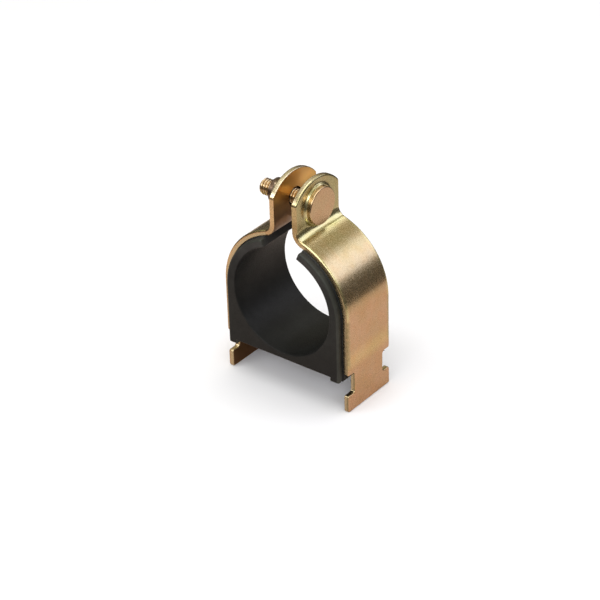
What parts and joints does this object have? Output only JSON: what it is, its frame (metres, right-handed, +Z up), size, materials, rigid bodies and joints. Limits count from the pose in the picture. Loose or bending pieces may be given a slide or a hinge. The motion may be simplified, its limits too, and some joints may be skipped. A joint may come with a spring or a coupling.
{
  "type": "strut pipe clamp",
  "caption": "Cushioned strut clamp: two hooked steel halves close over a tube on a moulded rubber cushion, drawn together by a square-necked bolt and locknut.",
  "frame": {"origin": "centre of the bore that holds the tube, halfway along the cushion", "axes": "+Y along the tube, +X along the strut towards the bolt head, +Z up away from the strut"},
  "size_m": [0.0702, 0.0382, 0.1063],
  "materials": {
    "plated_steel": "yellow passivated zinc on stamped steel",
    "moulded_rubber": "matt moulded black",
    "plated_bolt": "yellow passivated zinc",
    "nut_steel": "dull zinc",
    "insert_plastic": "plain moulded"
  },
  "bodies": {
    "head_side": {"clamp_half_head_side": "plated_steel", "clamp_bolt": "plated_bolt", "cushion": "moulded_rubber"},
    "nut_side": {"clamp_half_nut_side": "plated_steel"},
    "nut": {"lock_nut": "nut_steel", "nut_insert": "insert_plastic"}
  },
  "joints": [
    {"name": "jaw_slide", "type": "slide", "parent": "head_side", "child": "nut_side", "axis": [-1, 0, 0], "range_m": [0, 0.00564]},
    {"name": "nut_turn", "type": "hinge", "parent": "nut_side", "child": "nut", "pos_m": [-0.012, 0, 0.04444], "axis": [-1, 0, 0], "range_deg": [0, 1440]}
  ],
  "couplings": [
    {"joint": "nut_turn", "follows": "jaw_slide", "rad_per_m": 4452.6}
  ]
}
